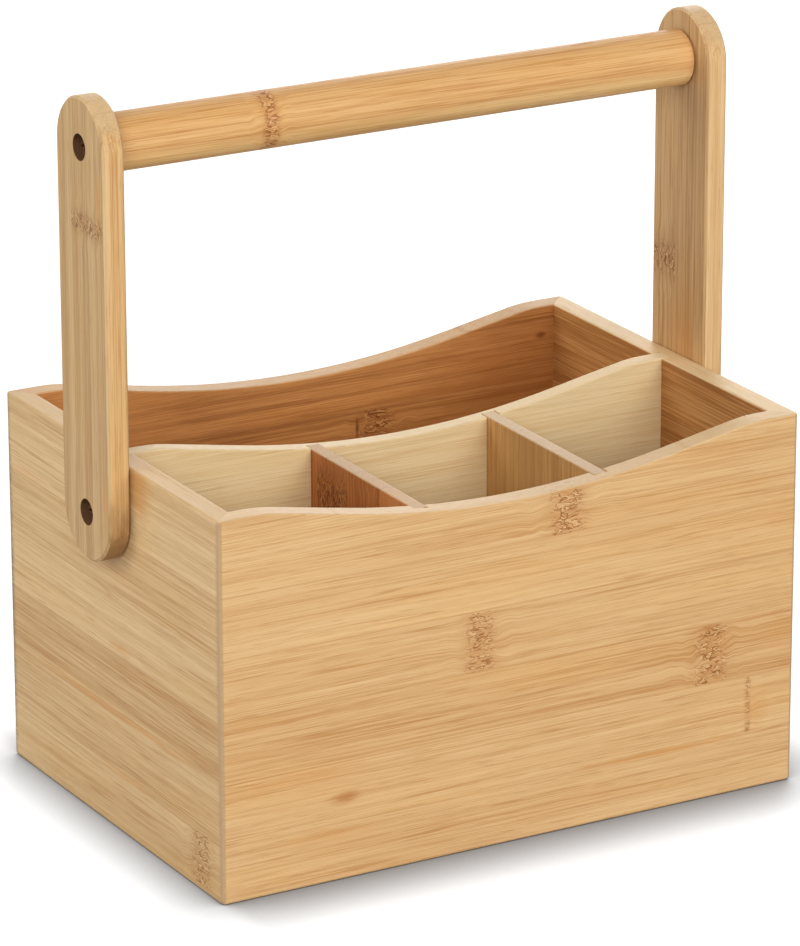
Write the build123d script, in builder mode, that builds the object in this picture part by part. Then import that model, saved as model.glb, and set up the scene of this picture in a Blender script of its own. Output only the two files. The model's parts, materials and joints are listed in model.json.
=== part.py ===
from build123d import *
import os
from math import cos, radians, sqrt, tan

# A bamboo cutlery caddy: four mitred boards with a wavy top on the long sides, a base in grooves,
# one long divider and two cross dividers in housings, and a rod handle that swings on two screws.
# Millimetres. X runs along the long walls, -Y is the front, Z is up, the origin is on the table
# under the middle of the box.

# ---- box ----
box_length = 250.0
box_depth = 175.0
box_height = 150.0            # side walls and the level ends of the wavy boards
wall = 9.0                    # thickness of the four walls
corner_round = 2.0            # upright outside corners
foot_round = 1.5              # outside bottom edge
rim_round = 0.8               # both top edges of every wall

# ---- wavy top, shared by front wall, back wall and long divider ----
level_end = 20.0              # from the outside corner to where the board starts to fall
flank_angle = 10.5            # degrees, fall of the straight flanks towards the middle
crest_radius = 60.0
trough_radius = 375.0

# ---- base panel ----
base_thickness = 6.0
base_lift = 4.0               # underside of the panel above the table
housing = 4.0                 # how far base and dividers enter the walls

# ---- dividers ----
divider_thickness = 7.0
cross_thickness = 6.0
cross_housing = 4.5           # how far the cross dividers enter the long divider
middle_width = 71.5           # clear width of the middle front compartment
middle_shift = 1.0            # its middle, to the right of the middle of the box
divider_round = 0.6           # top edges of the dividers
glue_gap = 0.1                # round a board in its groove

# ---- handle ----
upright_width = 38.0
upright_thickness = 9.0
upright_chamfer = 0.9         # edges of both faces
pivot_drop = 21.0             # swing axis below the top of the side walls
grip_rise = 141.0             # middle of the rod above the swing axis
rod_diameter = 22.0
rod_chamfer = 1.2             # both ends
swing_gap = 0.3               # between upright and side wall

# ---- screws ----
shank_diameter = 4.0
head_diameter = 8.5
head_height = 2.6
crown_rise = 1.2              # bevelled rim of the pan head, its height
crown_inset = 1.1             # and its width
point_length = 3.0
recess_length = 4.6           # cross recess in the head
recess_width = 1.0
recess_depth = 1.5
counterbore_diameter = 10.0
counterbore_depth = 5.0
shank_length = 25.0           # all four screws are alike
pilot_clearance = 0.05        # round a shank in its pilot hole
pilot_spare = 1.0             # a pilot hole goes this much deeper than the point of its screw
pivot_clearance = 0.08        # round the shank on which the upright turns
head_gap = 0.1                # under the head of a pivot screw, so that the upright turns

# ---- worked out from these ----
inner_length = box_length - 2 * wall
inner_depth = box_depth - 2 * wall
base_top = base_lift + base_thickness
divider_length = inner_length + 2 * housing
pivot_height = box_height - pivot_drop
grip_height = pivot_height + grip_rise
shank_radius = shank_diameter / 2
pilot_radius = shank_radius + pilot_clearance
upright_inner = box_length / 2 + swing_gap
seat_x = upright_inner + upright_thickness - counterbore_depth   # floor of the counterbores
pilot_end = seat_x - shank_length - pilot_spare                  # every pilot hole ends at this X
cross_places = [middle_shift + side * (middle_width + cross_thickness) / 2 for side in (-1, 1)]

# Carried on to the middle of the board, the two flanks would meet at the depth of the valley.
# The trough, an arc tangent to both, stays above that point.
reach = box_length / 2 - level_end
valley = reach * tan(radians(flank_angle))
wave_depth = valley - trough_radius * (1 / cos(radians(flank_angle)) - 1)

# edges are picked by their place
play = 0.01
lowest_rim = box_height - wave_depth - 1


def trough_level(x):
    """Height of the wavy top near the middle of the box."""
    return box_height - wave_depth + trough_radius - sqrt(trough_radius**2 - x**2)


def wavy_view(length, foot):
    """Front view of a wavy board of this length that stands at this height."""
    with BuildSketch(Plane.XZ) as view:
        with BuildLine():
            top = FilletPolyline(
                (-length / 2, box_height), (-reach, box_height), (0, box_height - valley),
                (reach, box_height), (length / 2, box_height),
                radius=(crest_radius, trough_radius, crest_radius),
            )
            Polyline(top @ 1, (length / 2, foot), (-length / 2, foot), top @ 0)
        make_face()
    return view.sketch


def mitred_plan(across, along, turn):
    """Plan of one wall: its outside edge is 'across' long, and lies 'along' / 2 from the middle."""
    outside, inside = along / 2, along / 2 - wall
    with BuildSketch(Plane.XY) as plan:
        with BuildLine():
            Polyline(
                (-across / 2, -outside), (across / 2, -outside),
                (across / 2 - wall, -inside), (-across / 2 + wall, -inside), close=True,
            )
        make_face()
        RectangleRounded(across, along, corner_round, mode=Mode.INTERSECT)
    return plan.sketch.rotate(Axis.Z, turn)


def edges_near(part, axis, place, low=lowest_rim, high=box_height + play):
    """Edges whose middle lies at this place on the axis and between these heights."""
    found = part.edges().filter_by_position(axis, place - play, place + play)
    return found.filter_by_position(Axis.Z, low, high)


def round_wall(part, axis, side, half):
    """Round the outside bottom edge and both top edges of a wall on this side of the box."""
    fillet(edges_near(part, axis, side * half), rim_round)
    fillet(edges_near(part, axis, side * (half - wall)), rim_round)
    fillet(edges_near(part, axis, side * half, -play, play), foot_round)


def base_groove():
    """Plan of the space that the grooves of all four walls leave for the base panel."""
    with BuildSketch(Plane.XY.offset(base_lift)) as plan:
        Rectangle(divider_length, inner_depth + 2 * housing)
    return plan.sketch


def cross_grooves(from_y, to_y):
    """Plan of the two upright grooves for the cross dividers, between these places in Y."""
    with BuildSketch(Plane.XY.offset(base_top)) as plan:
        with Locations([(place, (from_y + to_y) / 2) for place in cross_places]):
            Rectangle(cross_thickness + 2 * glue_gap, to_y - from_y)
    return plan.sketch


def outward(side, x, height):
    """Plane square to X on this side of the box, facing away from it."""
    return Plane(origin=(side * x, 0, height), z_dir=(side, 0, 0))


def long_wall(side):
    """Front wall (side -1) or back wall (side 1)."""
    with BuildPart() as part:
        extrude(wavy_view(box_length, 0), amount=box_depth, both=True)
        plan = mitred_plan(box_length, box_depth, 0 if side < 0 else 180)
        extrude(plan, amount=box_height, mode=Mode.INTERSECT)
        round_wall(part, Axis.Y, side, box_depth / 2)
        extrude(base_groove(), amount=base_thickness + glue_gap, mode=Mode.SUBTRACT)
        if side < 0:
            grooves = cross_grooves(-inner_depth / 2 - housing, -inner_depth / 2 + wall)
            extrude(grooves, amount=box_height, mode=Mode.SUBTRACT)
    return part


def side_wall(side):
    """Left wall (side -1) or right wall (side 1), with its divider groove and pivot pilot hole."""
    with BuildPart() as part:
        extrude(mitred_plan(box_depth, box_length, -90 if side < 0 else 90), amount=box_height)
        round_wall(part, Axis.X, side, box_length / 2)
        extrude(base_groove(), amount=base_thickness + glue_gap, mode=Mode.SUBTRACT)
        with BuildSketch(Plane.XY.offset(base_top)):
            Rectangle(divider_length, divider_thickness + 2 * glue_gap)
        extrude(amount=box_height, mode=Mode.SUBTRACT)
        with Locations(outward(side, box_length / 2, pivot_height)):
            Hole(pilot_radius, box_length / 2 - pilot_end)
    return part


def cross_divider(place):
    """Level-topped board between the front wall and the long divider."""
    near = -inner_depth / 2 - housing
    far = -divider_thickness / 2 + cross_housing
    with BuildPart() as part:
        with BuildSketch(Plane.XY.offset(base_top)):
            with Locations((place, (near + far) / 2)):
                Rectangle(cross_thickness, far - near)
        extrude(amount=trough_level(place) - base_top)
        fillet(part.faces().sort_by(Axis.Z)[-1].edges().filter_by(Axis.Y), divider_round)
    return part


def upright(side):
    """Round-ended arm of the handle, counterbored at the pivot and at the rod."""
    with BuildPart() as part:
        with BuildSketch(Plane.YZ.offset(side * upright_inner)):
            with Locations((0, pivot_height + grip_rise / 2)):
                SlotCenterToCenter(grip_rise, upright_width, rotation=90)
        extrude(amount=side * upright_thickness)
        chamfer(part.edges().filter_by(Axis.X, reverse=True), upright_chamfer)
        for height, clearance in ((pivot_height, pivot_clearance), (grip_height, pilot_clearance)):
            with Locations(outward(side, upright_inner + upright_thickness, height)):
                CounterBoreHole(
                    radius=shank_radius + clearance,
                    counter_bore_radius=counterbore_diameter / 2,
                    counter_bore_depth=counterbore_depth,
                    depth=upright_thickness,
                )
    return part


def pan_screw(side, height, lift):
    """Pan-head wood screw along X, its head this far off the counterbore floor."""
    seat = (side * (seat_x + lift), 0, height)
    with BuildPart() as part:
        with BuildSketch(Plane(origin=seat, x_dir=(0, 1, 0), z_dir=(0, 0, -side))):
            with BuildLine():
                Polyline(
                    (0, -shank_length), (shank_radius, point_length - shank_length), (shank_radius, 0),
                    (head_diameter / 2, 0), (head_diameter / 2, head_height - crown_rise),
                    (head_diameter / 2 - crown_inset, head_height), (0, head_height), close=True,
                )
            make_face()
        revolve(axis=Axis(seat, (1, 0, 0)))
        with BuildSketch(outward(side, seat_x + lift + head_height, height)):
            Rectangle(recess_length, recess_width)
            Rectangle(recess_width, recess_length)
        extrude(amount=-recess_depth, mode=Mode.SUBTRACT)
    return part


# ---- walls ----
pieces = {
    "front_wall": long_wall(-1),
    "back_wall": long_wall(1),
    "left_wall": side_wall(-1),
    "right_wall": side_wall(1),
}

# ---- base panel: rests on the lower face of its groove ----
with BuildPart() as base_panel:
    with BuildSketch(Plane.XY.offset(base_lift)):
        Rectangle(divider_length - 2 * glue_gap, inner_depth + 2 * (housing - glue_gap))
    extrude(amount=base_thickness)
pieces["base_panel"] = base_panel

# ---- long divider: same wave as the walls, grooved on its front face, drilled at both ends ----
with BuildPart() as long_divider:
    extrude(wavy_view(divider_length, base_top), amount=divider_thickness / 2, both=True)
    for side in (-1, 1):
        fillet(edges_near(long_divider, Axis.Y, side * divider_thickness / 2), divider_round)
        with Locations(outward(side, box_length / 2, pivot_height)):
            Hole(pilot_radius, box_length / 2 - pilot_end)
    grooves = cross_grooves(-divider_thickness, -divider_thickness / 2 + cross_housing)
    extrude(grooves, amount=box_height, mode=Mode.SUBTRACT)
pieces["long_divider"] = long_divider

# ---- what comes in pairs: left, then right ----
for name, side, place in (("left", -1, cross_places[0]), ("right", 1, cross_places[1])):
    pieces[name + "_cross_divider"] = cross_divider(place)
    pieces[name + "_upright"] = upright(side)
    pieces[name + "_pivot_screw"] = pan_screw(side, pivot_height, head_gap)
    pieces[name + "_grip_screw"] = pan_screw(side, grip_height, 0)

# ---- handle rod: butts against both uprights, drilled for the grip screws ----
with BuildPart() as handle_rod:
    with BuildSketch(Plane.YZ.offset(-upright_inner)):
        with Locations((0, grip_height)):
            Circle(rod_diameter / 2)
    extrude(amount=2 * upright_inner)
    chamfer(handle_rod.edges().filter_by(GeomType.CIRCLE), rod_chamfer)
    for side in (-1, 1):
        with Locations(outward(side, upright_inner, grip_height)):
            Hole(pilot_radius, upright_inner - pilot_end)
pieces["handle_rod"] = handle_rod

os.makedirs("parts", exist_ok=True)
for name, piece in pieces.items():
    piece.part.label = name
    export_step(piece.part, f"parts/{name}.step")
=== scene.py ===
import json
from math import radians
from typing import NamedTuple

import bpy
from mathutils import Matrix, Vector


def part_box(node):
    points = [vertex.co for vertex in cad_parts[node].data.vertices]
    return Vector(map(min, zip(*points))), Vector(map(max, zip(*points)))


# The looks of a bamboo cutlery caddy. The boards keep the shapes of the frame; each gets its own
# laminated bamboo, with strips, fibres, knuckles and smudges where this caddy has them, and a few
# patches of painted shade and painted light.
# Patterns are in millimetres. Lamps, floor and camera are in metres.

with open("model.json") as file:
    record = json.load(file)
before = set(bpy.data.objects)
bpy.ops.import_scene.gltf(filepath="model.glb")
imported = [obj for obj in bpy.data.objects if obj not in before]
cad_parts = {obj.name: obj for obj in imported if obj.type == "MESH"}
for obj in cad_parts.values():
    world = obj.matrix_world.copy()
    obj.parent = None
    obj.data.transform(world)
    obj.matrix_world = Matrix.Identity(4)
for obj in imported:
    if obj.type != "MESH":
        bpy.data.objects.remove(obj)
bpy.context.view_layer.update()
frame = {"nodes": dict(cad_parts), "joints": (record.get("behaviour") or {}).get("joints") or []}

mm = 1000.0                   # millimetres in a metre, the unit of the frame


# ---- small helpers for nodes ----


def put(tree, kind, sockets=(), **settings):
    """Adds one node with its settings. A socket's value is another socket or a plain value."""
    made = tree.nodes.new("ShaderNode" + kind)
    for key, value in settings.items():
        setattr(made, key, value)
    fill(tree, made, sockets)
    return made


def fill(tree, made, sockets):
    for place, value in dict(sockets).items():
        if isinstance(value, bpy.types.NodeSocket):
            tree.links.new(value, made.inputs[place])
        else:
            made.inputs[place].default_value = value


def sums(tree, operation, *values, clamp=False):
    return put(tree, "Math", enumerate(values), operation=operation, use_clamp=clamp).outputs[0]


def vectors(tree, operation, *values):
    return put(tree, "VectorMath", enumerate(values), operation=operation).outputs[0]


def measures(tree, operation, *values):
    """Vector maths that gives a number, such as a length."""
    return put(tree, "VectorMath", enumerate(values), operation=operation).outputs["Value"]


def vector_of(tree, **parts):
    """A vector of these parts, x, y and z, where what isn't given is 0."""
    sockets = {part.upper(): value for part, value in parts.items()}
    return put(tree, "CombineXYZ", sockets).outputs[0]


def parts_of(tree, vector):
    return put(tree, "SeparateXYZ", {0: vector}).outputs


def off_middle(tree, value, middle):
    """How far a value is from its middle, either way."""
    return sums(tree, "ABSOLUTE", sums(tree, "SUBTRACT", value, middle))


def ease(tree, value, start, stop, low=0.0, high=1.0):
    """Smooth step of a value from low to high between start and stop."""
    sockets = {"Value": value, "From Min": start, "From Max": stop, "To Min": low, "To Max": high}
    return put(tree, "MapRange", sockets, interpolation_type="SMOOTHSTEP").outputs[0]


def tint(tree, factor, under, over, blend="MIX"):
    sockets = {0: factor, 6: under, 7: over}
    return put(tree, "Mix", sockets, data_type="RGBA", blend_type=blend).outputs[2]


def noise(tree, vector, cells, detail=2.0, roughness=0.5, distortion=0.0):
    """Noise with this many cells per millimetre along the fibres, across them and into the board."""
    sockets = {
        "Vector": vectors(tree, "MULTIPLY", vector, cells),
        "Scale": 1.0,
        "Detail": detail,
        "Roughness": roughness,
        "Distortion": distortion,
    }
    return put(tree, "TexNoise", sockets).outputs[0]


def new_group(name, takes, gives):
    """A shader node group with named inputs and outputs, and the sockets of its two ends."""
    tree = bpy.data.node_groups.new(name, "ShaderNodeTree")
    for label, kind, value in takes:
        socket = tree.interface.new_socket(label, in_out="INPUT", socket_type="NodeSocket" + kind)
        socket.default_value = value
    for label, kind in gives:
        tree.interface.new_socket(label, in_out="OUTPUT", socket_type="NodeSocket" + kind)
    start = tree.nodes.new("NodeGroupInput").outputs
    end = tree.nodes.new("NodeGroupOutput").inputs
    return tree, start, end


def place_group(tree, group, sockets):
    made = tree.nodes.new("ShaderNodeGroup")
    made.node_tree = group
    fill(tree, made, sockets)
    return made.outputs


def new_material(name):
    material = bpy.data.materials.new(name)
    material.use_nodes = True
    return material, material.node_tree, material.node_tree.nodes["Principled BSDF"]


def srgb(red, green, blue):
    """Linear colour of an sRGB value from 0 to 255."""
    return tuple(
        (c / 255 / 12.92 if c <= 10 else ((c / 255 + 0.055) / 1.055) ** 2.4)
        for c in (red, green, blue)
    ) + (1.0,)


def scaled(colour, shares):
    """A linear colour with its red, green and blue scaled."""
    return tuple(c * share for c, share in zip(colour, shares)) + (1.0,)


# ---- shared effects. Vectors are millimetres: along the fibres, across them, into the board ----

glue_line_core = 0.1          # half width of the dark middle of a glue line
glue_line_edge = 0.45         # where it has faded out
strip_jump = (600.0, 0.0, 90.0)   # the most by which a strip's fibres are shifted along and in
seed_jump = (53.0, 0.0, 0.0)  # shift of all fibres for one step of the seed


def make_strips():
    """Edge-glued strips: a tone for each, thin glue lines, and fibres that stop at the strip."""
    takes = [
        ("Vector", "Vector", (0, 0, 0)),
        ("Width", "Float", 24.0),
        ("Shift", "Float", 0.0),
        ("Seed", "Float", 0.0),
    ]
    gives = [("Tone", "Float"), ("Glue Line", "Float"), ("Vector", "Vector")]
    tree, start, end = new_group("bamboo strips", takes, gives)
    across = parts_of(tree, start["Vector"])[1]
    run = sums(tree, "DIVIDE", sums(tree, "SUBTRACT", across, start["Shift"]), start["Width"])
    key = sums(tree, "ADD", sums(tree, "FLOOR", run), start["Seed"])
    random = put(tree, "TexWhiteNoise", {"W": key}, noise_dimensions="1D").outputs
    tree.links.new(sums(tree, "MULTIPLY_ADD", random["Value"], 2.0, -1.0), end["Tone"])
    share = sums(tree, "FRACT", run)
    nearest = sums(tree, "MINIMUM", share, sums(tree, "SUBTRACT", 1.0, share))
    distance = sums(tree, "MULTIPLY", nearest, start["Width"])
    line = ease(tree, distance, glue_line_core, glue_line_edge, 1.0, 0.0)
    tree.links.new(line, end["Glue Line"])
    jump = vectors(tree, "MULTIPLY", random["Color"], strip_jump)
    tree.links.new(vectors(tree, "ADD", start["Vector"], jump), end["Vector"])
    return tree


class FibreKind(NamedTuple):
    """One kind of fibre: its noise, and the noise levels between which it rises from 0 to 1."""

    cells: tuple
    detail: float
    roughness: float
    low: float
    high: float


fibre_kinds = {
    "Band": FibreKind((0.004, 0.17, 0.17), 3.0, 0.6, 0.33, 0.67),
    "Streak": FibreKind((0.009, 0.85, 0.85), 2.0, 0.6, 0.34, 0.66),
    "Fine": FibreKind((0.03, 2.4, 2.4), 2.0, 0.6, 0.34, 0.66),
    "Pore": FibreKind((0.07, 1.5, 1.5), 1.0, 0.5, 0.60, 0.72),
}
sway_width = 1.2              # how far the fibres wander to and fro, over about 200 mm
sway_cells = (0.005, 0.015, 0.015)
thread_cells = (0.004, 0.3, 0.3)      # the hairlines follow the middle level of this noise
thread_patch_cells = (0.014, 0.12, 0.12)
warmth_cells = (0.009, 0.07, 0.07)


def make_fibres():
    """Fibre bundles of a bamboo strip: bands, streaks, fine fibres, short pores and hairlines."""
    takes = [("Vector", "Vector", (0, 0, 0)), ("Seed", "Float", 0.0)]
    gives = [(label, "Float") for label in (*fibre_kinds, "Hairline", "Warmth")]
    tree, start, end = new_group("bamboo fibres", takes, gives)
    seed = vectors(tree, "MULTIPLY", vector_of(tree, x=start["Seed"]), seed_jump)
    moved = vectors(tree, "ADD", start["Vector"], seed)
    sway = noise(tree, moved, sway_cells, 1.0)
    sideways = sums(tree, "MULTIPLY_ADD", sway, sway_width, -sway_width / 2)
    swayed = vectors(tree, "ADD", moved, vector_of(tree, y=sideways))
    for label, kind in fibre_kinds.items():
        level = noise(tree, swayed, kind.cells, kind.detail, kind.roughness)
        tree.links.new(ease(tree, level, kind.low, kind.high), end[label])
    thread = noise(tree, swayed, thread_cells, 1.0)
    line = ease(tree, off_middle(tree, thread, 0.5), 0.004, 0.022, 1.0, 0.0)
    patch = ease(tree, noise(tree, moved, thread_patch_cells, 1.0), 0.42, 0.6)
    tree.links.new(sums(tree, "MULTIPLY", line, patch), end["Hairline"])
    tree.links.new(ease(tree, noise(tree, moved, warmth_cells), 0.46, 0.7), end["Warmth"])
    return tree


ragged_end_cells = (0.06, 0.2, 0.1)
crinkle_cells = (0.24, 0.66, 0.2)
crinkle_middle = 0.52         # the dark marks follow this level of the crinkled noise
bend_cells = (0.11, 0.09, 0.1)
bend_width = 9.0              # the fibres give way by up to half of this beside a knuckle
bend_fade = 4.0               # and less than this near the edge of the strip


def make_knuckle():
    """One knuckle of the cane in its strip: a darker field, crinkled marks and bent fibres."""
    takes = [
        ("Vector", "Vector", (0, 0, 0)),
        ("Along", "Float", 0.0),
        ("Across", "Float", 0.0),
        ("Half Length", "Float", 9.0),
        ("Half Width", "Float", 12.0),
    ]
    gives = [("Field", "Float"), ("Marks", "Float"), ("Glints", "Float"), ("Vector", "Vector")]
    tree, start, end = new_group("bamboo knuckle", takes, gives)
    here, half = start["Vector"], start["Half Length"]
    parts = parts_of(tree, here)

    # reach is 0 in the middle of the knuckle and 1 at its ragged end
    ragged = sums(tree, "SUBTRACT", noise(tree, here, ragged_end_cells, 3.0), 0.5)
    off = sums(tree, "SUBTRACT", parts[0], start["Along"])
    off = sums(tree, "ADD", off, sums(tree, "MULTIPLY", ragged, half))
    reach = sums(tree, "DIVIDE", sums(tree, "ABSOLUTE", off), half)
    to_edge = sums(tree, "SUBTRACT", start["Half Width"], off_middle(tree, parts[1], start["Across"]))
    inside = ease(tree, to_edge, 0.0, 0.7)
    field = sums(tree, "MULTIPLY", inside, ease(tree, reach, 0.1, 1.6, 1.0, 0.0))
    core = sums(tree, "MULTIPLY", inside, ease(tree, reach, 0.3, 1.05, 1.0, 0.0))
    tree.links.new(field, end["Field"])

    crinkle = noise(tree, here, crinkle_cells, 1.5, 0.55, 0.7)
    marks = ease(tree, off_middle(tree, crinkle, crinkle_middle), 0.014, 0.062, 1.0, 0.0)
    tree.links.new(sums(tree, "MULTIPLY", marks, core), end["Marks"])
    above, below = ease(tree, crinkle, 0.55, 0.58), ease(tree, crinkle, 0.6, 0.66, 1.0, 0.0)
    pale = sums(tree, "MULTIPLY", above, below)
    tree.links.new(sums(tree, "MULTIPLY", pale, core), end["Glints"])

    bend = sums(tree, "SUBTRACT", noise(tree, here, bend_cells, 1.0), 0.5)
    near = ease(tree, reach, 0.3, 3.2, 1.0, 0.0)
    near = sums(tree, "MULTIPLY", ease(tree, to_edge, 0.0, bend_fade), near)
    shift = sums(tree, "MULTIPLY", sums(tree, "MULTIPLY", bend, near), bend_width)
    tree.links.new(vectors(tree, "ADD", here, vector_of(tree, y=shift)), end["Vector"])
    return tree


stain_and_shade_edge_cells = (0.1, 0.7, 0.3)
stain_and_shade_raggedness = 0.9


def make_stain_and_shade():
    """A soft oval patch in the wood: a stain, or in a few places painted shade."""
    takes = [
        ("Vector", "Vector", (0, 0, 0)),
        ("Along", "Float", 0.0),
        ("Across", "Float", 0.0),
        ("Half Length", "Float", 6.0),
        ("Half Width", "Float", 2.5),
    ]
    tree, start, end = new_group("stain_and_shade", takes, [("Mask", "Float")])
    parts = parts_of(tree, start["Vector"])
    along, across = (
        sums(tree, "DIVIDE", sums(tree, "SUBTRACT", parts[i], start[place]), start[half])
        for i, (place, half) in enumerate((("Along", "Half Length"), ("Across", "Half Width")))
    )
    away = measures(tree, "LENGTH", vector_of(tree, x=along, y=across))
    edge = noise(tree, start["Vector"], stain_and_shade_edge_cells)
    ragged = sums(tree, "MULTIPLY_ADD", edge, stain_and_shade_raggedness, -stain_and_shade_raggedness / 2)
    mask = ease(tree, sums(tree, "ADD", away, ragged), 0.1, 1.0, 1.0, 0.0)
    tree.links.new(mask, end["Mask"])
    return tree


tone_weights = {"Band": 0.40, "Streak": 0.36, "Fine": 0.50}
deep_weights = {"Pore": 0.30, "Hairline": 0.5}
glue_weight = 0.3
warmth_weight = 0.5
warm_filter = (1.0, 0.93, 0.80, 1.0)
satin = 0.5                   # roughness of the sanded and oiled wood, more on fibres and in pores


def make_wood():
    """Colour, roughness and height of laminated bamboo between a deep and a pale colour."""
    takes = [
        ("Vector", "Vector", (0, 0, 0)),
        ("Mid", "Color", (0.6, 0.4, 0.2, 1)),
        ("Deep", "Color", (0.4, 0.2, 0.1, 1)),
        ("Pale", "Color", (0.7, 0.5, 0.3, 1)),
        ("Strip Width", "Float", 24.0),
        ("Strip Shift", "Float", 0.0),
        ("Seed", "Float", 0.0),
        ("Tone Spread", "Float", 0.06),
        ("Streaks", "Float", 1.0),
    ]
    gives = [("Color", "Color"), ("Roughness", "Float"), ("Height", "Float")]
    tree, start, end = new_group("laminated bamboo", takes, gives)
    cut = place_group(tree, strips, {
        "Vector": start["Vector"], "Width": start["Strip Width"],
        "Shift": start["Strip Shift"], "Seed": start["Seed"],
    })
    grain = place_group(tree, fibres, {"Vector": cut["Vector"], "Seed": start["Seed"]})

    # a level of -1 is all deep, +1 is all pale
    level = sums(tree, "MULTIPLY", cut["Tone"], start["Tone Spread"])
    for label, weight in tone_weights.items():
        swing = sums(tree, "SUBTRACT", grain[label], 0.5)
        swing = sums(tree, "MULTIPLY", swing, start["Streaks"])
        level = sums(tree, "MULTIPLY_ADD", swing, weight, level)
    darker = sums(tree, "MULTIPLY", level, -1.0, clamp=True)
    paler = sums(tree, "MULTIPLY", level, 1.0, clamp=True)
    colour = tint(tree, darker, start["Mid"], start["Deep"])
    colour = tint(tree, paler, colour, start["Pale"])
    warm = sums(tree, "MULTIPLY", grain["Warmth"], warmth_weight)
    colour = tint(tree, warm, colour, warm_filter, "MULTIPLY")
    for label, weight in deep_weights.items():
        dark = sums(tree, "MULTIPLY", grain[label], weight, clamp=True)
        colour = tint(tree, dark, colour, start["Deep"])
    colour = tint(tree, sums(tree, "MULTIPLY", cut["Glue Line"], glue_weight), colour, start["Deep"])
    tree.links.new(colour, end["Color"])

    rough = sums(tree, "MULTIPLY_ADD", grain["Fine"], 0.10, satin)
    tree.links.new(sums(tree, "MULTIPLY_ADD", grain["Pore"], 0.12, rough), end["Roughness"])
    height = sums(tree, "MULTIPLY_ADD", grain["Pore"], -0.5, grain["Fine"])
    tree.links.new(sums(tree, "MULTIPLY_ADD", cut["Glue Line"], -0.5, height), end["Height"])
    return tree


strips = make_strips()
fibres = make_fibres()
knuckle = make_knuckle()
stain_and_shade = make_stain_and_shade()
wood = make_wood()


# ---- what a board can show, in millimetres along and across its fibres ----


class Palette(NamedTuple):
    """Colours of one kind of wood: its middle tone, its dark fibres and its pale ones."""

    mid: tuple
    deep: tuple
    pale: tuple


class Strips(NamedTuple):
    """How strips are laid. Order names the axes that run along the fibres, across them and into
    the board, and shift is the place of one glue line."""

    order: str
    palette: Palette
    width: float
    shift: float


class Knuckle(NamedTuple):
    """A knuckle of the cane."""

    along: float
    across: float
    half_length: float = 9.0
    half_width: float = 12.0
    strength: float = 1.0


class StainAndShade(NamedTuple):
    """A soft oval patch of another colour: a stain in the wood, or in a few places painted shade."""

    along: float
    across: float
    half_length: float
    half_width: float
    shade: tuple
    strength: float


# ---- the material of a board ----

other_face_seed = 31.0        # added to a board's seed for the strips of its other faces
field_weight = 0.34           # how strongly a knuckle darkens its strip
glint_weight = 0.6
mark_weight = 0.85
mark_depth = 0.8              # of the dark marks, in parts of the fibres' height
burnt_shares = (1.0, 0.86, 0.66)      # of the deep colour, in a knuckle's field
mark_shares = (0.62, 0.48, 0.36)      # and in its marks
rim_weight = 0.6              # how strongly the sanded rim shows, and by how much more on fibres
rim_fibre_weight = 0.35
corner_weight = 0.75
bore_radius = 0.005           # metres, as coordinates are not yet millimetres there
bore_fade = 0.0003
bore_weight = 0.92
grain_strength = 0.25
grain_depth = 0.0002          # metres
gloss = 0.22


def in_board(tree, order):
    """Object coordinates in millimetres as along, across and into the board."""
    here = put(tree, "TexCoord").outputs["Object"]
    parts = parts_of(tree, put(tree, "VectorMath", {0: here, "Scale": mm}, operation="SCALE").outputs[0])
    along, across, into = (parts[axis] for axis in order)
    return vector_of(tree, x=along, y=across, z=into)


def facing(tree, way, low, high):
    """Rises from 0 to 1 as the surface turns this way."""
    normal = put(tree, "TexCoord").outputs["Normal"]
    return ease(tree, measures(tree, "DOT_PRODUCT", normal, way), low, high)


def bend_fibres(tree, vector, knuckles):
    """The coordinates bent beside each knuckle, and the outputs of the knuckles."""
    found = []
    for one in knuckles:
        marks = place_group(tree, knuckle, {
            "Vector": vector, "Along": one.along, "Across": one.across,
            "Half Length": one.half_length, "Half Width": one.half_width,
        })
        vector = marks["Vector"]
        found.append(marks)
    return vector, found


def show_knuckle(tree, colour, marks, strength, palette):
    layers = (
        ("Field", field_weight, scaled(palette.deep, burnt_shares)),
        ("Glints", glint_weight, palette.pale),
        ("Marks", mark_weight, scaled(palette.deep, mark_shares)),
    )
    for label, weight, shade in layers:
        colour = tint(tree, sums(tree, "MULTIPLY", marks[label], weight * strength), colour, shade)
    return colour


# a stain in the wood, or a patch of painted shade, mixed into the colour
def show_stain_and_shade(tree, colour, vector, one):
    mask = place_group(tree, stain_and_shade, {
        "Vector": vector, "Along": one.along, "Across": one.across,
        "Half Length": one.half_length, "Half Width": one.half_width,
    })["Mask"]
    return tint(tree, sums(tree, "MULTIPLY", mask, one.strength), colour, one.shade)


def show_rim(tree, colour, height, shade):
    """The sanded top edge, where the strips are cut across."""
    share = sums(tree, "MULTIPLY_ADD", height, rim_fibre_weight, rim_weight)
    return tint(tree, sums(tree, "MULTIPLY", facing(tree, up, 0.25, 0.9), share), colour, shade)


def show_bore(tree, colour, place):
    """Painted shade on the wall of a hole along x, at this y and z, darkened to deep brown."""
    here = put(tree, "TexCoord").outputs["Object"]
    flat = vectors(tree, "MULTIPLY", here, (0.0, 1.0, 1.0))
    away = measures(tree, "DISTANCE", flat, (0.0, *place))
    mask = ease(tree, away, bore_radius, bore_radius + bore_fade, bore_weight, 0.0)
    return tint(tree, mask, colour, bore_shade_brown)


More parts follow.
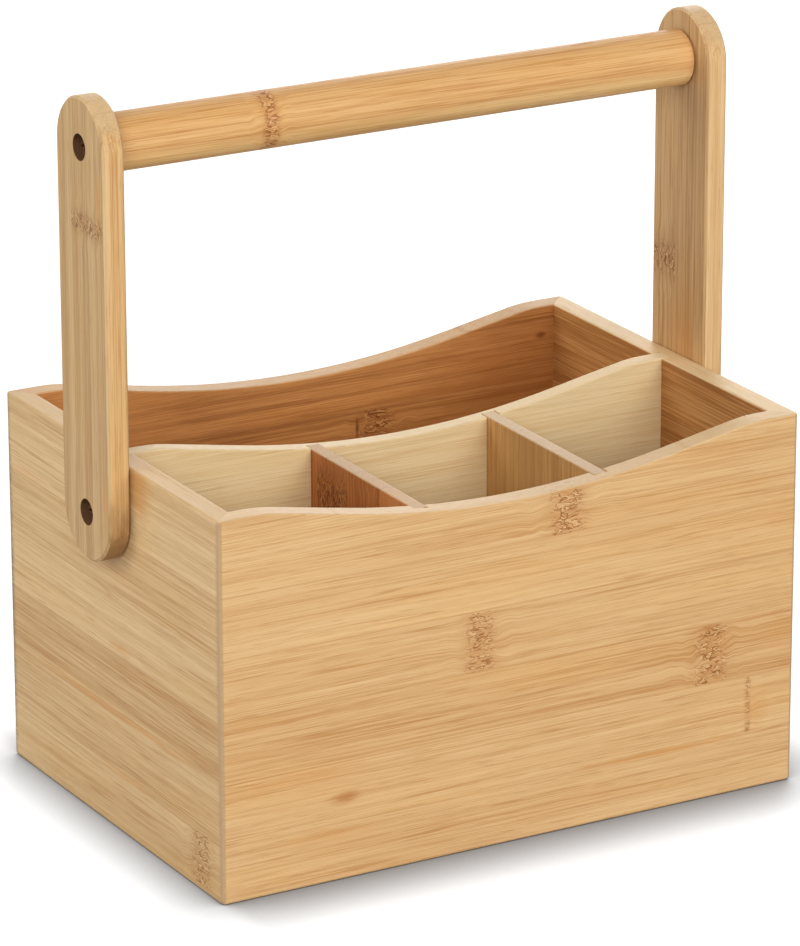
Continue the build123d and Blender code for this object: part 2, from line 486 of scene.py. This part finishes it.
def bamboo(name, board_strips, seed, tone_spread=0.17, streaks=1.0, faces=(), knuckles=(),
           stains_and_shades=(), rim=None, corners=(), bores=()):
    """Laminated bamboo of one board.

    faces: ways that other faces look, with their strips; the rod's lower front is painted light
    this way. rim: colour of the top edge. corners: ways that corners look, with their colours:
    end grain, and painted shade on rounds turned from the light. bores: holes along x, as y and z,
    whose walls get painted shade.
    """
    material, tree, shader = new_material(name)
    here = in_board(tree, board_strips.order)
    bent, found = bend_fibres(tree, here, knuckles)

    def lay(vector, laid, number):
        return place_group(tree, wood, {
            "Vector": vector, "Mid": laid.palette.mid, "Deep": laid.palette.deep,
            "Pale": laid.palette.pale, "Strip Width": laid.width, "Strip Shift": laid.shift,
            "Seed": number, "Tone Spread": tone_spread, "Streaks": streaks,
        })

    grain = lay(bent, board_strips, seed)
    colour, height = grain["Color"], grain["Height"]
    for way, laid in faces:
        vector = bent if laid.order == board_strips.order else in_board(tree, laid.order)
        other = lay(vector, laid, seed + other_face_seed)
        colour = tint(tree, facing(tree, way, 0.8, 0.97), colour, other["Color"])
    for one, marks in zip(knuckles, found):
        colour = show_knuckle(tree, colour, marks, one.strength, board_strips.palette)
        height = sums(tree, "MULTIPLY_ADD", marks["Marks"], -mark_depth * one.strength, height)
    for one in stains_and_shades:
        colour = show_stain_and_shade(tree, colour, here, one)
    if rim:
        colour = show_rim(tree, colour, grain["Height"], rim)
    for way, shade in corners:
        share = sums(tree, "MULTIPLY", facing(tree, way, 0.75, 0.93), corner_weight)
        colour = tint(tree, share, colour, shade)
    for place in bores:
        colour = show_bore(tree, colour, place)

    tree.links.new(colour, shader.inputs["Base Color"])
    tree.links.new(grain["Roughness"], shader.inputs["Roughness"])
    bumps = {"Height": height, "Strength": grain_strength, "Distance": grain_depth}
    tree.links.new(put(tree, "Bump", bumps).outputs[0], shader.inputs["Normal"])
    shader.inputs["Specular IOR Level"].default_value = gloss
    return material


def dark_screw():
    """Bronzed steel, dull, with paler rubbed spots."""
    material, tree, shader = new_material("bronzed screw steel")
    patch = noise(tree, in_board(tree, "XYZ"), (0.7, 0.7, 0.7), 3.0, 0.6)
    colour = tint(tree, ease(tree, patch, 0.35, 0.7), srgb(58, 34, 18), srgb(92, 58, 34))
    tree.links.new(colour, shader.inputs["Base Color"])
    tree.links.new(ease(tree, patch, 0.3, 0.7, 0.5, 0.7), shader.inputs["Roughness"])
    shader.inputs["Metallic"].default_value = 0.4
    shader.inputs["Specular IOR Level"].default_value = 0.3
    return material


# ---- colours, ways and axes ----

honey = Palette(srgb(216, 174, 121), srgb(180, 124, 64), srgb(232, 196, 144))
side_honey = Palette(srgb(207, 173, 125), srgb(172, 124, 70), srgb(226, 196, 148))
amber = Palette(srgb(188, 127, 70), srgb(136, 80, 36), srgb(212, 158, 98))
brown_amber = amber._replace(mid=srgb(167, 112, 58))
chestnut = Palette(srgb(191, 120, 63), srgb(118, 64, 28), srgb(206, 146, 90))
walnut = Palette(srgb(198, 151, 90), srgb(146, 92, 44), srgb(216, 170, 108))
cream = Palette(srgb(234, 209, 161), srgb(212, 172, 112), srgb(246, 218, 172))
mist = Palette(srgb(196, 162, 114), srgb(158, 116, 70), srgb(216, 186, 140))
tan_mist = Palette(srgb(194, 156, 108), srgb(150, 104, 60), srgb(214, 180, 132))
tawny = Palette(srgb(216, 177, 122), srgb(184, 122, 62), srgb(228, 192, 140))
bright_tawny = Palette(srgb(214, 174, 122), srgb(188, 134, 76), srgb(236, 202, 152))
rod_honey = Palette(srgb(220, 172, 112), srgb(180, 118, 58), srgb(232, 190, 136))
# painted light: the paler palette of the rod's lower front, as if lit from below
lit_rod_underside = Palette(srgb(232, 190, 128), srgb(196, 138, 74), srgb(240, 206, 150))

end_grain = srgb(178, 148, 112)
# painted shade: the dark back end and round of the left wall, turned from the light
shaded_back_corner = srgb(110, 101, 84)
front_end_tan = srgb(182, 154, 120)
orange = srgb(206, 142, 72)
upright_shade_ochre = srgb(190, 130, 60)
# painted shade: the warm shadow of the left upright on the wall in front of it
foot_shade = srgb(172, 124, 68)
# painted shade: darker towards the foot of the left wall, near the floor
rust = srgb(176, 112, 52)
bark = srgb(96, 52, 22)
dark_line = srgb(120, 68, 30)
deep_amber = srgb(148, 84, 34)
bright_amber = srgb(216, 148, 84)
pale_walnut = srgb(216, 172, 112)
shaded_round = srgb(150, 110, 70)
shaded_edge = srgb(136, 96, 58)
# painted shade inside the holes of the uprights
bore_shade_brown = srgb(84, 52, 28)

up, left, right = (0, 0, 1), (-1, 0, 0), (1, 0, 0)
front, back = (0, -1, 0), (0, 1, 0)
front_left, front_right = (-0.7, -0.7, 0), (0.7, -0.7, 0)
back_left, back_right = (-0.7, 0.7, 0), (0.7, 0.7, 0)
low_front = (0, -0.707, -0.707)
lower_front = (0, -0.6, -0.8)

# axes along the fibres, across them and into the board
long_board, side_board, flat_board = "XZY", "YZX", "XYZ"
upright_face, upright_edge = "ZYX", "ZXY"


# ---- walls and base ----

wall_strip = 24.3             # width of the strips
outer_shift = 23.0            # height of a glue line on the outer faces
inner_shift = 30.0            # and on the inner ones
base_shift = 2.0
mid_height = 75.0             # middle of the patches that run up a whole edge: a tan band and a strip of painted shade
whole_edge = 160.0            # and their half width


def wall_looks():
    def outside(order, palette):
        return Strips(order, palette, wall_strip, outer_shift)

    def inside(order, palette):
        return Strips(order, palette, wall_strip, inner_shift)

    return {
        "front_wall": bamboo(
            "front wall bamboo", outside(long_board, honey), 3.0,
            faces=[(back, inside(long_board, amber))],
            knuckles=[
                Knuckle(22, 131.5),
                Knuckle(-15.4, 83.5, half_length=8, strength=0.9),
                Knuckle(87, 59),
                Knuckle(104, 35, half_length=1.6, strength=0.6),
            ],
            stains_and_shades=[
                StainAndShade(-73, 33, 10, 3.4, rust, 0.7),
                StainAndShade(-95, 44, 46, 6, orange, 0.35),
                StainAndShade(66, 23.5, 50, 2.0, orange, 0.5),
                StainAndShade(-80, 19, 34, 3, orange, 0.25),
                StainAndShade(120, 60, 22, 12, orange, 0.2),
                StainAndShade(108, 33, 7, 10, orange, 0.3),
            ],
            rim=srgb(222, 191, 147),
            corners=[(front_left, end_grain), (front_right, end_grain)],
        ),
        "left_wall": bamboo(
            "left wall bamboo", outside(side_board, side_honey), 11.0,
            tone_spread=0.3, streaks=1.15,
            faces=[(right, inside(side_board, amber))],
            knuckles=[Knuckle(-71.5, 13, half_width=10.5)],
            stains_and_shades=[
                StainAndShade(0, 47.5, 90, 1.6, orange, 0.5),
                # painted shade: the warm shadow of the upright near the top of the wall
                StainAndShade(-24, 143, 15, 17, upright_shade_ochre, 0.6),
                # a paler tan band up the front end of the left wall
                StainAndShade(-87.2, mid_height, 3.4, whole_edge, front_end_tan, 0.8),
                # painted shade: a dark strip up the back end of the left wall
                StainAndShade(87, mid_height, 4.2, whole_edge, shaded_back_corner, 0.9),
                StainAndShade(-7, 75, 14, 3, orange, 0.35),
                StainAndShade(-10, 24, 30, 2.5, orange, 0.3),
                StainAndShade(70, 122, 22, 3, orange, 0.25),
                # painted shade: darker towards the foot of the wall
                StainAndShade(-10, 6, 130, 24, foot_shade, 0.2),
            ],
            rim=srgb(212, 179, 130),
            # the back-left round is painted dark as shade
            corners=[(front_left, end_grain), (back_left, shaded_back_corner)],
        ),
        "back_wall": bamboo(
            "back wall bamboo", outside(long_board, amber), 17.0,
            faces=[(back, inside(long_board, honey))],
            knuckles=[Knuckle(34, 107.5)],
            stains_and_shades=[
                StainAndShade(25, 113, 1.2, 6, bark, 0.8),
                StainAndShade(110, 138, 3, 2.4, bark, 0.8),
                StainAndShade(0, 119, 100, 1.4, dark_line, 0.35),
                StainAndShade(-60, 128, 60, 1.2, dark_line, 0.3),
                StainAndShade(95, 118, 60, 50, deep_amber, 0.45),
                StainAndShade(-90, 128, 60, 45, bright_amber, 0.5),
            ],
            rim=srgb(211, 175, 129),
            corners=[(back_left, end_grain), (back_right, end_grain)],
        ),
        "right_wall": bamboo(
            "right wall bamboo", outside(side_board, side_honey), 23.0,
            tone_spread=0.3, streaks=1.2,
            faces=[(left, inside(side_board, brown_amber))],
            knuckles=[Knuckle(40, 59, strength=0.9)],
            rim=srgb(232, 199, 150),
            corners=[(front_right, end_grain), (back_right, end_grain)],
        ),
        "base_panel": bamboo("base bamboo", Strips(flat_board, amber, wall_strip, base_shift), 29.0),
    }


# ---- dividers ----


def divider_looks():
    return {
        "long_divider": bamboo(
            "long divider bamboo", Strips(long_board, cream, 60.0, 10.0), 37.0,
            streaks=0.55, rim=srgb(226, 200, 158),
        ),
        "left_cross_divider": bamboo(
            "left cross divider bamboo", Strips(upright_face, chestnut, 20.0, 4.0), 41.0,
            streaks=1.1,
            knuckles=[
                Knuckle(122, -20, half_length=14),
                Knuckle(116, -50, half_length=14, strength=0.8),
            ],
            rim=srgb(203, 172, 127),
        ),
        "right_cross_divider": bamboo(
            "right cross divider bamboo", Strips(upright_face, walnut, 14.0, 4.0), 43.0,
            streaks=0.8,
            stains_and_shades=[StainAndShade(120, -60, 40, 1.3, pale_walnut, 0.7)],
            rim=srgb(207, 180, 142),
        ),
    }


# ---- handle ----

arm_strip = 6.3               # width of the strips on the broad faces of the uprights
arm_shift = 1.0
arm_rim = srgb(222, 187, 140)
rod_strip = 31.0              # wider than the rod, so that its round has no glue line
rod_shift = 255.0


def handle_looks():
    pivot = frame["joints"][0]["pos_m"]
    rod_low, rod_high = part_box("handle_rod")
    grip = (rod_low + rod_high) / 2
    bores = [(pivot[1], pivot[2]), (grip.y, grip.z)]
    left_arm_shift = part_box("left_upright")[0].x * mm
    right_arm_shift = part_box("right_upright")[0].x * mm
    return {
        "left_upright": bamboo(
            "left upright bamboo", Strips(upright_face, mist, arm_strip, arm_shift), 47.0,
            tone_spread=0.25,
            faces=[(front, Strips(upright_edge, tawny, 3.0, left_arm_shift))],
            knuckles=[Knuckle(241.5, -5, half_length=5, half_width=13)],
            stains_and_shades=[
                StainAndShade(252, -14, 18, 2.6, orange, 0.5),
                StainAndShade(135, -16, 12, 3, orange, 0.4),
                StainAndShade(122, -21, 20, 5, shaded_edge, 0.8),
            ],
            rim=arm_rim, corners=[(lower_front, shaded_round)], bores=bores,
        ),
        "right_upright": bamboo(
            "right upright bamboo", Strips(upright_face, tan_mist, arm_strip, arm_shift), 53.0,
            tone_spread=0.25, streaks=1.1,
            faces=[(front, Strips(upright_edge, bright_tawny, 4.5, right_arm_shift))],
            knuckles=[Knuckle(187, 10, half_width=8)],
            stains_and_shades=[StainAndShade(150, -4, 45, 16, orange, 0.3)],
            rim=arm_rim, bores=bores,
        ),
        "handle_rod": bamboo(
            "rod bamboo", Strips(long_board, rod_honey, rod_strip, rod_shift), 59.0,
            streaks=1.15,
            # the lower front of the rod is painted paler, as light from below
            faces=[(low_front, Strips(long_board, lit_rod_underside, rod_strip, rod_shift))],
            knuckles=[Knuckle(-60, 270, half_length=4)],
        ),
    }


def dress():
    """Gives each node its look. What has no wood is a screw."""
    looks = {**wall_looks(), **divider_looks(), **handle_looks()}
    screw = dark_screw()
    for name, node in frame["nodes"].items():
        for socket in node.material_slots:
            socket.material = looks.get(name, screw)


# ---- floor, light and camera ----

floor_size = 16.0
floor_grey = (0.48, 0.48, 0.48, 1)    # the colour that the floor casts up on the caddy
shown_grey = (0.15, 0.15, 0.15, 1)    # and the one under its own white glow
floor_glow = 0.92
shadow_reach = 0.033          # how far the soft shadow round the foot goes
left_shadow_reach = 0.022     # it is narrower and paler on the left
shadow_depth = 2.5
left_shadow_depth = 1.7
left_shadow_edge = (-0.128, -0.118)   # x where the one gives way to the other
lamp_side = 1.4
lamp_aim = (0, 0, 0.12)
lamps = {                     # place, and power in watts
    "front left softbox": ((-1.65, -1.85, 1.45), 34.0),
    "front right softbox": ((0.6, -2.4, 1.25), 33.0),
    "left softbox": ((-2.4, 0.8, 1.3), 26.0),
    "back right softbox": ((1.6, 2.0, 0.95), 30.0),
}
fill_light = 0.28             # strength of the surroundings on the caddy
sensor_height = 36.0          # millimetres, as is the focal length
focal_length = 213.12
camera_turn = 29.574          # degrees to the left of the front
camera_rise = 19.014          # degrees above the table
camera_roll = 0.105
camera_distance = 2.16
camera_lift = 0.02012         # frames the caddy without a lens shift
camera_target = (0, 0, 0.1)


def seen_directly(tree):
    """1 for the rays of the camera and for those that show in gloss or glass, else 0."""
    path = put(tree, "LightPath").outputs
    seen = sums(tree, "MAXIMUM", path["Is Camera Ray"], path["Is Glossy Ray"])
    return sums(tree, "MAXIMUM", seen, path["Is Transmission Ray"])


def stage():
    """A white floor. Seen directly it glows white, less where the caddy stands close over it."""
    bpy.ops.object.select_all(action="DESELECT")
    bpy.ops.mesh.primitive_plane_add(size=floor_size, location=(0, 0, 0))
    floor = bpy.context.object
    floor.name = "floor"
    material, tree, shader = new_material("white floor")
    seen = seen_directly(tree)
    tree.links.new(tint(tree, seen, floor_grey, shown_grey), shader.inputs["Base Color"])
    shader.inputs["Roughness"].default_value = 0.6
    shader.inputs["Specular IOR Level"].default_value = 0.2
    side = parts_of(tree, put(tree, "TexCoord").outputs["Object"])["X"]
    distance = ease(tree, side, *left_shadow_edge, left_shadow_reach, shadow_reach)
    depth = ease(tree, side, *left_shadow_edge, left_shadow_depth, shadow_depth)
    near = put(tree, "AmbientOcclusion", {"Distance": distance}, samples=12).outputs["AO"]
    glow = sums(tree, "MULTIPLY", sums(tree, "POWER", near, depth), floor_glow)
    shader.inputs["Emission Color"].default_value = (1, 1, 1, 1)
    tree.links.new(sums(tree, "MULTIPLY", seen, glow), shader.inputs["Emission Strength"])
    floor.data.materials.append(material)


def softbox(name, place, power):
    light = bpy.data.lights.new(name, "AREA")
    light.shape = "RECTANGLE"
    light.size = light.size_y = lamp_side
    light.energy = power
    made = bpy.data.objects.new(name, light)
    made.location = place
    made.rotation_euler = (Vector(lamp_aim) - Vector(place)).to_track_quat("-Z", "Y").to_euler()
    bpy.context.scene.collection.objects.link(made)


def surroundings():
    """White where it is seen directly, and a weak fill light on the caddy."""
    world = bpy.data.worlds.new("studio")
    bpy.context.scene.world = world
    world.use_nodes = True
    tree = world.node_tree
    tree.nodes.clear()
    strength = ease(tree, seen_directly(tree), 0.0, 1.0, fill_light, 1.0)
    sky = put(tree, "Background", {"Color": (1, 1, 1, 1), "Strength": strength})
    end = put(tree, "OutputWorld", {"Surface": sky.outputs[0]})
    end.is_active_output = True


def camera():
    """Stands where the picture was taken from."""
    lens = bpy.data.cameras.new("camera")
    lens.sensor_fit = "VERTICAL"
    lens.sensor_height = sensor_height
    lens.lens = focal_length
    eye = bpy.data.objects.new("camera", lens)
    turn = (
        Matrix.Rotation(radians(-camera_turn), 4, "Z")
        @ Matrix.Rotation(radians(90 - camera_rise), 4, "X")
        @ Matrix.Rotation(radians(-camera_roll), 4, "Z")
    )
    above, behind = turn.col[1].to_3d(), turn.col[2].to_3d()
    place = Vector(camera_target) + camera_lift * above + camera_distance * behind
    eye.matrix_world = Matrix.Translation(place) @ turn
    bpy.context.scene.collection.objects.link(eye)
    bpy.context.scene.camera = eye


dress()
stage()
surroundings()
for lamp_name, (lamp_place, lamp_power) in lamps.items():
    softbox(lamp_name, lamp_place, lamp_power)
camera()
bpy.context.scene.view_settings.view_transform = "Standard"
